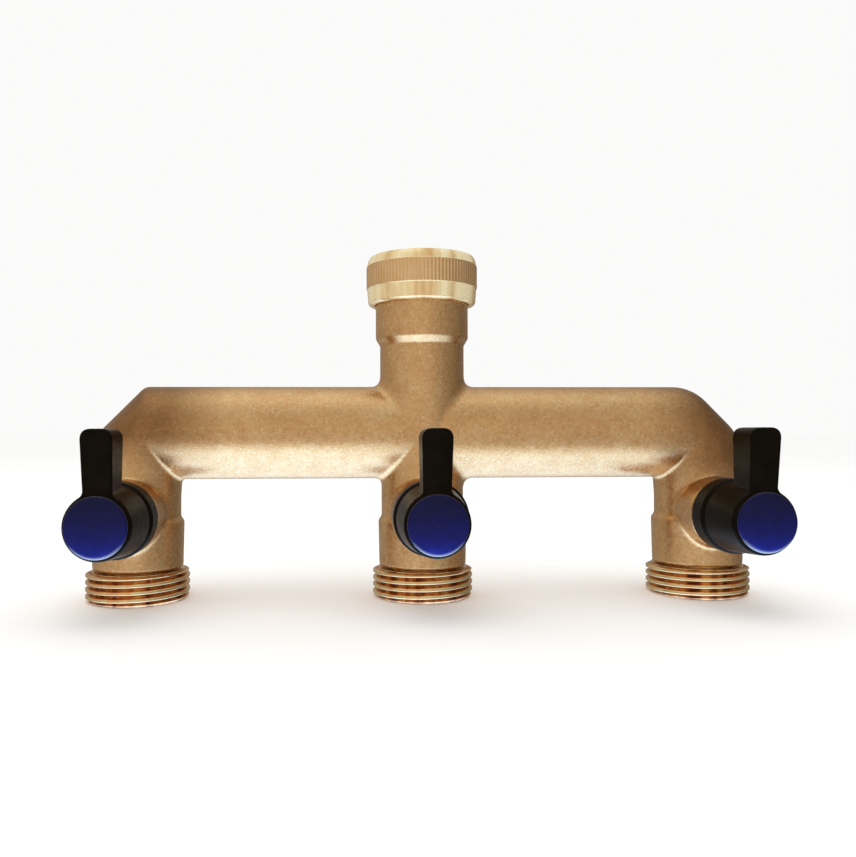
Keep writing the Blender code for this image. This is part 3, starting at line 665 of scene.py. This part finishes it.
def cast_brass():
    """Shot-blasted casting: a fine pebbled skin with bright specks painted as glints, and painted
    shade on the elbows.
    """
    n = Skin("cast_brass_skin")
    patches = n.noise(5, 3, 0.6)
    mottled = n.noise(1.1, 3, 0.6)
    grain = n.noise(0.45, 3, 0.65)
    colour = n.ramp(patches, ((0.32, (0.82, 0.50, 0.235)), (0.52, (0.87, 0.55, 0.265)),
                              (0.72, (0.91, 0.61, 0.31))))
    warmth = n.ramp(mottled, ((0.32, (0.90, 0.86, 0.80)), (0.55, (1.0, 1.0, 1.0)),
                              (0.75, (1.05, 1.06, 1.06))))
    colour = n.mix(1.0, colour, warmth, "MULTIPLY")
    # The grain varies the tone at random; its whitest, bluish points and the pale specks mixed in
    # below are painted glints.
    sparkle = n.ramp(grain, ((0.35, (0.90, 0.87, 0.82)), (0.55, (1.0, 1.0, 1.0)),
                             (0.72, (1.12, 1.15, 1.20))))
    colour = n.mix(1.0, colour, sparkle, "MULTIPLY")
    painted_glint = n.span(n.noise(0.5, 2, 0.55), 0.60, 0.68, 0.0, 0.7)
    colour = n.mix(painted_glint, colour, (1.0, 0.82, 0.52, 1.0))

    # Painted shade: the elbows' upper outer parts, further out and lower on the right, are darkened
    # to a deep brown.
    along, _, height = n.split(n.place)
    right = n.span(along, -0.01, 0.01, 0.0, 1.0)
    further = n.math("MULTIPLY", right, ELBOW_SHADE_RIGHT["out"])
    out = n.span(n.math("SUBTRACT", n.math("ABSOLUTE", along), further), *ELBOW_SHADE_OUT, 0.0, 1.0)
    lower = n.math("MULTIPLY", right, ELBOW_SHADE_RIGHT["down"])
    up = n.span(n.math("ADD", height, lower), *ELBOW_SHADE_UP, 0.0, 1.0)
    elbow_shade = n.math("MULTIPLY", n.math("MULTIPLY", out, up), n.span(patches, 0.3, 0.7, 0.75, 1.0))
    colour = n.mix(elbow_shade, colour, n.mix(1.0, colour, ELBOW_SHADE, "MULTIPLY"))

    skin = n.bump(n.noise(1.2, 2, 0.5), 0.05, 0.5)
    skin = n.bump(grain, 0.06, 0.6, skin)
    skin = n.bump(n.noise(0.22, 2, 0.6), 0.02, 0.5, skin)
    rough = n.span(mottled, 0.3, 0.75, 0.24, 0.34)
    return n.finish(Base_Color=colour, Metallic=1.0, Roughness=rough, Normal=skin)


def stem_brass():
    """Machined brass with fine rings left by the tool and a little tarnish."""
    n = Skin("stem_brass")
    colour = n.ramp(n.noise(5, 3, 0.6), ((0.35, (0.70, 0.46, 0.20)), (0.65, (0.80, 0.56, 0.28))))
    return n.finish(Base_Color=colour, Metallic=1.0, Roughness=n.wander(0.8, 0.2, 0.3),
                    Normal=n.tool_marks())


def thread_brass():
    """Cut threads: crests painted bright as a highlight, and grooves painted a dark red-brown as
    shade.
    """
    n = Skin("thread_brass")
    streaks = n.span(n.noise(3.2, 2, 0.55, stretch=(1, 1, 0.1)), 0.38, 0.62, 0.0, 0.46)
    # Painted light and shade: the colour runs from a dark red-brown at the thread's root, painted as
    # shade, to pale gold on its crest, painted as a highlight.
    painted_light = n.span(n.attribute("painted_light"), 0.0, 1.0, 0.0, 0.70)
    painted_light = n.math("ADD", painted_light, n.wander(2.2, -0.06, 0.06))
    painted_light = n.math("ADD", painted_light, streaks)
    colour = n.ramp(painted_light, ((0.0, (0.20, 0.06, 0.025)), (0.22, (0.60, 0.26, 0.09)),
                           (0.54, (0.96, 0.53, 0.22)), (0.90, (1.0, 0.80, 0.45))))
    rough = n.span(painted_light, 0.0, 1.0, 0.34, 0.16)
    return n.finish(Base_Color=colour, Metallic=1.0, Roughness=rough, Normal=n.tool_marks())


def nut_brass():
    """The nut: a darker knurl between two brightly turned, satin bands."""
    n = Skin("nut_brass_skin")
    height = n.split(n.place)[2]
    above = n.math("GREATER_THAN", height, KNURL[0] * MM)
    grip = n.math("MULTIPLY", above, n.math("LESS_THAN", height, KNURL[1] * MM))
    streaks = n.noise(5.0, 2, 0.55, stretch=(1, 1, 0.05))
    band = n.ramp(streaks, ((0.36, (0.86, 0.55, 0.25)), (0.46, (0.98, 0.75, 0.40)),
                            (0.58, (1.0, 0.87, 0.55))))
    knurl = n.ramp(n.noise(4, 3, 0.6), ((0.35, (0.93, 0.61, 0.30)), (0.65, (1.0, 0.70, 0.38))))
    satin = n.span(streaks, 0.38, 0.56, 0.76, 0.38)
    metal = n.math("MAXIMUM", satin, n.math("MULTIPLY", grip, 0.94))
    return n.finish(Base_Color=n.mix(grip, band, knurl), Metallic=metal,
                    Roughness=n.wander(0.8, 0.20, 0.30), Normal=n.tool_marks())


def handle_plastic():
    """Black plastic with a warm sheen at grazing angles."""
    n = Skin("black_plastic_skin")
    colour = n.ramp(n.noise(4, 2, 0.5), ((0.35, (0.0015, 0.0010, 0.0006)),
                                         (0.65, (0.0035, 0.0022, 0.0014))))
    return n.finish_moulded(0.28, Base_Color=colour, IOR=1.2, Sheen_Weight=0.6, Sheen_Roughness=0.1,
                            Sheen_Tint=(1.0, 0.93, 0.86, 1.0), Specular_Tint=(1.0, 0.80, 0.58, 1.0))


def cap_plastic():
    """Blue, painted deep navy at the top and lighter downwards as if lit from below, with a pale
    highlight painted on the lower edge.
    """
    n = Skin("blue_plastic_skin")
    height = n.split(n.place)[2]
    up = n.span(height, (VALVE_Z - CAP_RADIUS) * MM, (VALVE_Z + CAP_RADIUS) * MM, 0.0, 1.0)
    painted_shade_by_height = n.math("ADD", up, n.span(n.noise(2.5, 3, 0.55), 0.3, 0.7, -0.05, 0.05))
    # Painted light: the blue is lighter towards the bottom and deep navy at the top, as if lit from
    # below.
    colour = n.ramp(painted_shade_by_height, ((0.03, (0.006, 0.020, 0.36)), (0.14, (0.003, 0.009, 0.19)),
                            (0.36, (0.002, 0.004, 0.095)), (0.60, (0.001, 0.0025, 0.055)),
                            (0.90, (0.001, 0.002, 0.032))))
    # Painted highlight: the rounded lower edge is made pale blue.
    edge = n.math("MULTIPLY", n.attribute("painted_light"), n.span(up, 0.0, 0.25, 0.95, 0.0))
    colour = n.mix(edge, colour, (0.55, 0.70, 0.98, 1.0))
    return n.finish_moulded(0.22, Base_Color=colour, IOR=1.3)


def plain_metal(name, low, high, rough):
    """Smooth metal between two greys, with a range of roughness."""
    n = Skin(name)
    colour = n.ramp(n.noise(3, 2, 0.5), ((0.35, low), (0.65, high)))
    return n.finish(Base_Color=colour, Metallic=1.0, Roughness=n.wander(0.6, *rough),
                    Normal=n.bump(n.noise(0.3, 2), 0.003, 0.4))


def soft_matt(name, low, high, rough, grain):
    """A seal's matt material between two shades, with a range of roughness and a grain's size."""
    n = Skin(name)
    colour = n.ramp(n.noise(2.5, 3, 0.6), ((0.35, low), (0.65, high)))
    return n.finish(Base_Color=colour, Roughness=n.wander(0.7, *rough),
                    Normal=n.bump(n.noise(grain, 3, 0.6), 0.01, 0.5))


CAST = cast_brass()
THREAD = thread_brass()
NUT = nut_brass()
STEM = stem_brass()
BLACK = handle_plastic()
BLUE = cap_plastic()
CHROME = plain_metal("chrome_skin", (0.72, 0.72, 0.74), (0.80, 0.80, 0.82), (0.05, 0.12))
STEEL = plain_metal("steel_skin", (0.50, 0.50, 0.51), (0.62, 0.62, 0.63), (0.25, 0.4))
PTFE = soft_matt("ptfe_skin", (0.74, 0.74, 0.72), (0.84, 0.84, 0.82), (0.45, 0.6), 0.4)
RUBBER = soft_matt("rubber_skin", (0.012, 0.012, 0.012), (0.028, 0.027, 0.026), (0.6, 0.8), 0.25)


# ---------------------------------------------------------------- pieces

def make_casting():
    """The body, drawn about the plane of the outlets' axes."""
    plane = to_inlet(np.zeros(3))
    low, high = (np.array(corner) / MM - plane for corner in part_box("manifold_body"))
    points, faces = surface_net(casting_field, low, high, CASTING_STEP)
    new_piece("casting", to_inlet(points), faces, CAST, "root", "manifold_body",
              sharp=62)


def thread_form(turns):
    """Height of a worn Whitworth form, from 0 at the narrow root to 1 on the broad crest."""
    wave = 1 - np.abs(2 * (turns % 1.0) - 1)
    flank = np.clip((wave - 0.06) / 0.66, 0, 1)
    return 0.35 * flank + 0.65 * (0.5 - 0.5 * np.cos(pi * flank))


def make_nipples():
    """The threaded outlets: a helix with a chamfered start and a relief under the barrel."""
    outline = rounded([(9.0, 0, 0.3), (12.0, 0, 0.25), (12.9, 0.95, 0.3), (12.9, 7.3, 0.1),
                       (11.9, 7.5, 0.1), (11.9, 7.7, 0.1), (8.7, 7.7, 0.1), (8.7, 14.9, 0.3),
                       (5.4, 14.9, 0.3), (5.4, 7.9, 0.6), (9.0, 5.2, 0.6)], 0.2)
    outline = split_long(outline, 0.12)
    thread = (outline[:, 0] > 11.7) & (outline[:, 1] > 0.02) & (outline[:, 1] < THREAD_TOP)

    def helix(radius, height, turn):
        form = thread_form(height / THREAD_PITCH - turn / (2 * pi) + 0.3)
        full = THREAD_ROOT + (THREAD_CREST - THREAD_ROOT) * form
        start = np.clip(height, 0, 1)
        end = np.clip((THREAD_TOP + 0.1 - height) / 0.4, 0, 1)
        wanted = np.minimum(full, THREAD_START + THREAD_RISE * np.minimum(start, end))
        return np.where(thread[:, None], wanted - radius, 0.0)

    points, faces = lathe(outline, 192, helix)
    radius = np.hypot(points[:, 0], points[:, 1])
    # The value the material reads: 0 at the thread's root, painted as shade, up to 1 on its crest,
    # painted as a highlight, and 0.8 off the thread.
    painted_light = np.clip((radius - THREAD_ROOT) / (THREAD_CREST - THREAD_ROOT), 0, 1)
    painted_light = np.where(radius > 11.9, painted_light, 0.8)
    for side in SIDES:
        new_piece(f"threaded_outlet_{side}", to_outlet(points, side), faces, THREAD, "root",
                  f"outlet_nipple_{side}", sharp=60, painted_light=painted_light)


def make_nut():
    """The swivel nut: turned bands, a straight knurl between them and a thread inside."""
    outline = rounded([(12.65, 77.3, 0.2), (13.8, 77.3, 0.4), (14.35, 77.9, 0.4),
                       (14.62, 81.5, 0.2), (14.78, 81.8, 0.1), (14.78, 87.6, 0.1),
                       (14.62, 87.8, 0.1), (14.5, 88.9, 0.7), (13.9, 90.1, 0.7),
                       (13.1, 90.1, 0.2), (12.65, 89.4, 0.1), (12.65, 82.5, 0.1)], 0.2)
    outline = split_long(outline, 0.16)
    bottom, top = NUT_THREAD
    bore = (outline[:, 0] < 12.9) & (outline[:, 1] > bottom) & (outline[:, 1] < top)

    def faded(height, low, high, run_out):
        """1 between low and high, falling to 0 at both."""
        return np.clip((height - low) / run_out, 0, 1) * np.clip((high - height) / run_out, 0, 1)

    def cut(radius, height, turn):
        phase = 0.5 + 0.5 * np.cos(NUT_TEETH * turn)
        grip = (radius > 14.7) * faded(height, *KNURL, KNURL_RUN_OUT)
        knurl = KNURL_CREST * grip - KNURL_DEPTH * grip * (1 - phase)
        form = thread_form(height / THREAD_PITCH - turn / (2 * pi))
        thread = bore[:, None] * faded(height, bottom, top, NUT_THREAD_RUN_OUT) * (0.55 - form)
        return knurl + thread

    points, faces = lathe(outline, NUT_TEETH * 6, cut)
    new_piece("inlet_nut", to_inlet(points), faces, NUT, "nut", "swivel_nut", sharp=60)


def make_handles():
    """Hub, skirt and lever in one, hollow inside."""
    points, faces = surface_net(handle_field, *HANDLE_BOX, HANDLE_STEP)
    for side in SIDES:
        new_piece(f"lever_handle_{side}", to_front(points, side), faces, BLACK, f"valve_{side}",
                  f"handle_{side}", sharp=55, mirrored=False)


def make_caps():
    """A shallow dome with a rounded edge, and the plug behind it. The per-point value is 1 on the
    edge, where the material paints a pale highlight.
    """
    dome = [(5.9 * t, CAP_FACE - 0.28 * t * t - 0.02) for t in np.linspace(0.02, 1, 16)]
    rim = [(6.15, 38.08), (6.45, 38.07), (6.72, 37.95), (6.88, 37.75), (CAP_RADIUS, 37.5),
           (CAP_RADIUS, 37.3), (6.85, CAP_BACK)]
    plug = [(5.3, CAP_BACK), (5.25, 33.6), (4.3, 33.6), (4.3, 37.0), (0.1, 37.0)]
    points, faces = lathe(np.array(dome + rim + plug), 128)
    # Painted highlight: 1 on the cap's rounded edge, where the material paints it pale blue.
    painted_light = np.clip((np.hypot(points[:, 0], points[:, 1]) - 6.35) / 0.45, 0, 1)
    for side in SIDES:
        new_piece(f"blue_cap_{side}", to_front(points, side), faces, BLUE, f"valve_{side}",
                  f"cap_{side}", sharp=45, painted_light=painted_light, mirrored=False)


def make_balls():
    """A ball with a bore through it, whose edges are a little broken."""
    start = np.arcsin(BALL_BORE / BALL_RADIUS) + 0.03
    angles = np.linspace(start, pi - start, 60)
    shell = [(BALL_RADIUS * sin(a), BALL_RADIUS * cos(a)) for a in angles]
    top = (BALL_RADIUS ** 2 - BALL_BORE ** 2) ** 0.5 - 0.12
    bore = [(BALL_BORE, z) for z in np.linspace(-top, top, 12)]
    points, faces = lathe(np.array(shell + bore), 128)
    for side in SIDES:
        new_piece(f"chrome_ball_{side}", to_outlet(points, side, VALVE_Z), faces, CHROME,
                  f"valve_{side}", f"ball_{side}")


def make_seats():
    """A ring above and one below each ball, cupped to it."""
    cup = BALL_RADIUS + 0.3
    arc = [(r, (cup ** 2 - r ** 2) ** 0.5) for r in np.linspace(5.05, 7.3, 10)]
    back = [(8.6, 3.95), (8.7, 4.1), (8.7, 7.35), (8.55, 7.5), (5.15, 7.5), (5.0, 7.35)]
    outline = np.array(back + arc)
    for name, sign in (("upper", 1), ("lower", -1)):
        points, faces = lathe(outline * (1, sign), 96)
        for side in SIDES:
            new_piece(f"ptfe_{name}_seat_{side}", to_outlet(points, side, VALVE_Z), faces, PTFE,
                      "root", f"{name}_seat_{side}")


def seal_ring(radius, height, columns, wire=0.45, steps=14):
    """Points and faces of a round seal about Z."""
    turn = 2 * pi * np.arange(steps) / steps
    outline = np.stack([radius + wire * np.cos(turn), height + wire * np.sin(turn)], 1)
    return lathe(outline, columns)


def make_small_parts():
    """Seals, stems and washers, most of them out of sight."""
    nipple_ring = seal_ring(8.25, 11.4, 96)
    stem_ring = seal_ring(3.45, 14.0, 64)
    washer = lathe(rounded([(4.2, 10.6), (5.2, 10.6), (5.2, 11.4), (4.2, 11.4)], 0.12), 64)
    stem = lathe(rounded([(0.1, 9.0), (5.2, 9.0), (5.2, 10.3), (3.9, 10.3), (3.9, 13.2),
                          (2.7, 13.2), (2.7, 14.8), (3.9, 14.8), (3.9, 18.5), (2.9, 18.8),
                          (2.9, 29.0), (0.1, 29.0)], 0.12), 64)
    for side in SIDES:
        body = f"valve_{side}"
        new_piece(f"outlet_seal_{side}", to_outlet(nipple_ring[0], side), nipple_ring[1], RUBBER,
                  "root", f"nipple_oring_{side}")
        new_piece(f"stem_seal_{side}", to_front(stem_ring[0], side), stem_ring[1], RUBBER, body,
                  f"stem_oring_{side}")
        new_piece(f"stem_washer_{side}", to_front(washer[0], side), washer[1], PTFE, "root",
                  f"thrust_washer_{side}")
        new_piece(f"valve_stem_{side}", to_front(stem[0], side), stem[1], STEM, body,
                  f"stem_{side}", sharp=50, mirrored=False)
    gasket = lathe(rounded([(7.8, 81.2), (11.8, 81.2), (11.8, 83.2), (7.8, 83.2)], 0.35), 128)
    new_piece("inlet_washer", to_inlet(gasket[0]), gasket[1], RUBBER, "root",
              "inlet_gasket")


def dress_kept_nodes():
    """Pieces that stay as the frame has them get the finer material."""
    for name in ("retaining_ring", *(f"handle_screw_{side}" for side in SIDES)):
        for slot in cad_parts[name].material_slots:
            slot.material = STEEL


# ---------------------------------------------------------------- stage, light and camera

def make_floor_material():
    """Pale and matt. Gloss sees through it to the light below, as if it were lit glass."""
    material = bpy.data.materials.new("studio_white")
    tree = Tree(material)
    shader = tree.nodes["Principled BSDF"]
    shader.inputs["Base Color"].default_value = FLOOR_PALE
    shader.inputs["Roughness"].default_value = 0.9
    shader.inputs["Specular IOR Level"].default_value = 0.0
    clear = tree.nodes.new("ShaderNodeBsdfTransparent")
    path = tree.nodes.new("ShaderNodeLightPath").outputs
    seen_in_gloss = tree.math("MULTIPLY", path["Is Glossy Ray"],
                              tree.math("LESS_THAN", path["Diffuse Depth"], 0.5))
    tree.mix_shaders("Material Output", seen_in_gloss, shader, clear)
    return material


def make_stage():
    """A large plain floor at the object's foot."""
    mesh = bpy.data.meshes.new("studio_floor")
    corners = [(x * FLOOR_HALF, y * FLOOR_HALF, 0) for x, y in ((-1, -1), (1, -1), (1, 1), (-1, 1))]
    mesh.from_pydata(corners, [], [(0, 1, 2, 3)])
    mesh.materials.append(make_floor_material())
    floor = bpy.data.objects.new("studio_floor", mesh)
    bpy.context.scene.collection.objects.link(floor)


def make_world():
    """A white surround. What gloss reflects of it is brightest from below, and dims to the right,
    to both sides, to the back and at a second reflection."""
    world = bpy.data.worlds.new("studio")
    bpy.context.scene.world = world
    tree = Tree(world)
    world.cycles.sampling_method = "NONE"
    x, y, z = tree.split(tree.coordinates("Generated"))
    stops = [((height + 1) / 2, [c / SKY_PEAK for c in light]) for height, light in SKY]
    colour = tree.ramp(tree.math("MULTIPLY_ADD", z, 0.5, 0.5), stops)

    level = tree.math("SUBTRACT", 1.0, tree.math("ABSOLUTE", z))
    behind = tree.math("MULTIPLY", tree.math("MAXIMUM", y, 0.0), level)
    dim = tree.math("MULTIPLY_ADD", x, RIGHT_DIM, 1.0)
    dim = tree.math("MULTIPLY_ADD", tree.math("MULTIPLY", x, x), SIDE_DIM, dim)
    dim = tree.math("MULTIPLY", tree.math("MULTIPLY_ADD", behind, BACK_DIM, dim), SKY_PEAK)
    path = tree.nodes.new("ShaderNodeLightPath").outputs
    second = tree.math("GREATER_THAN", path["Glossy Depth"], 1.5)
    dim = tree.math("MULTIPLY", dim, tree.math("MULTIPLY_ADD", second, SECOND_DIM, 1.0))
    reflected = tree.nodes["Background"]
    tree.feed(reflected.inputs["Color"], colour)
    tree.feed(reflected.inputs["Strength"], dim)
    plain = tree.nodes.new("ShaderNodeBackground")
    plain.inputs["Color"].default_value = PALE
    tree.mix_shaders("World Output", path["Is Glossy Ray"], plain, reflected)


def make_light():
    """One softbox overhead, which lights but isn't mirrored."""
    light = bpy.data.lights.new("overhead_softbox", "AREA")
    light.shape = "RECTANGLE"
    light.size, light.size_y = LAMP_SIZE
    light.energy = LAMP_POWER
    light.color = LAMP_COLOUR
    lamp = bpy.data.objects.new("overhead_softbox", light)
    lamp.location = LAMP_PLACE
    lamp.visible_glossy = False
    aim = Vector(LAMP_TARGET) - Vector(LAMP_PLACE)
    lamp.rotation_euler = aim.to_track_quat("-Z", "Y").to_euler()
    bpy.context.scene.collection.objects.link(lamp)


def make_camera():
    """A level view from a little right of the left outlet, turned slightly to the right."""
    data = bpy.data.cameras.new("camera")
    data.sensor_width = 36.0
    data.lens = LENS
    data.shift_x, data.shift_y = LENS_SHIFT
    data.clip_start = 0.01
    data.clip_end = 50
    camera = bpy.data.objects.new("camera", data)
    yaw, pitch, roll = radians(CAMERA_YAW), radians(CAMERA_PITCH), radians(CAMERA_ROLL)
    forward = Vector((sin(yaw) * cos(pitch), cos(yaw) * cos(pitch), sin(pitch)))
    turn = forward.to_track_quat("-Z", "Y").to_matrix() @ Matrix.Rotation(roll, 3, "Z")
    x, y, z = CAMERA_PLACE
    camera.matrix_world = Matrix.Translation(Vector((x, AXIS_Y + y, z)) * MM) @ turn.to_4x4()
    bpy.context.scene.collection.objects.link(camera)
    bpy.context.scene.camera = camera


bpy.context.scene.view_settings.view_transform = "Standard"
make_camera()
make_stage()
make_world()
make_light()
make_casting()
make_nipples()
make_nut()
make_handles()
make_caps()
make_balls()
make_seats()
make_small_parts()
dress_kept_nodes()
